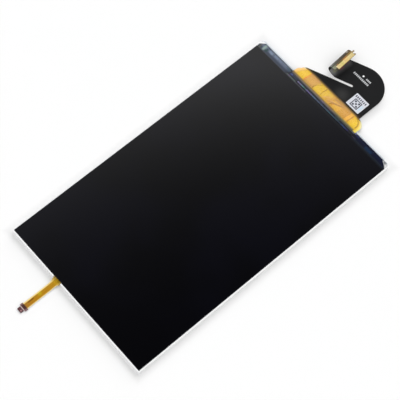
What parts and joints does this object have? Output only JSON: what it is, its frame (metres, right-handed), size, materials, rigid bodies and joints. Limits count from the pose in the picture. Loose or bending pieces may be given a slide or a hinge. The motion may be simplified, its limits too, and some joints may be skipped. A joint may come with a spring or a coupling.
{
  "type": "replacement lcd screen",
  "caption": "Thin rectangular liquid crystal display module with edge-lit backlight, a hook-shaped main flex circuit with a curled contact tail, and a narrow lamp flex tail.",
  "frame": {"origin": "centre of the rear face of the frame and reflector, which is the face that the module is mounted on", "axes": "+X along the long side towards the driver ledge and the main flex circuit; +Y along the short side, towards the side where the main flex's tail curls up; +Z out of the display's face"},
  "size_m": [0.1943, 0.0836, 0.0046],
  "materials": {
    "reflector": "satin",
    "frame_plastic": "satin",
    "light_guide": "gloss",
    "lamp_body": "satin",
    "flex_film": "satin",
    "dark_stiffener": "satin",
    "contact_gold": "satin",
    "diffuser_film": "matte",
    "prism_film": "gloss",
    "black_tape": "matte",
    "polarizer_film": "gloss",
    "array_glass": "polished",
    "sealant": "matte",
    "liquid_crystal": "gloss",
    "filter_glass": "polished",
    "driver_silicon": "polished",
    "black_cover_film": "satin",
    "amber_stiffener": "satin",
    "amber_tape": "gloss",
    "label_paper": "satin"
  },
  "bodies": {
    "root": {"reflector_sheet": "reflector", "mold_frame": "frame_plastic", "light_guide_plate": "light_guide", "lamp_01": "lamp_body", "lamp_02": "lamp_body", "lamp_03": "lamp_body", "lamp_04": "lamp_body", "lamp_05": "lamp_body", "lamp_06": "lamp_body", "lamp_07": "lamp_body", "lamp_08": "lamp_body", "lamp_09": "lamp_body", "lamp_10": "lamp_body", "lamp_circuit": "flex_film", "lamp_tail_stiffener": "dark_stiffener", "lamp_contact_1": "contact_gold", "lamp_contact_2": "contact_gold", "diffuser_sheet": "diffuser_film", "lower_prism_sheet": "prism_film", "upper_prism_sheet": "prism_film", "rim_tape": "black_tape", "rear_polarizer": "polarizer_film", "tft_array_glass": "array_glass", "cell_seal": "sealant", "liquid_crystal_layer": "liquid_crystal", "colour_filter_glass": "filter_glass", "front_polarizer": "polarizer_film", "driver_chip": "driver_silicon", "main_flex": "flex_film", "flex_rear_cover": "black_cover_film", "flex_top_cover": "black_cover_film", "contact_fingers": "contact_gold", "tail_stiffener": "amber_stiffener", "amber_tape": "amber_tape", "flex_label": "label_paper"}
  },
  "joints": []
}
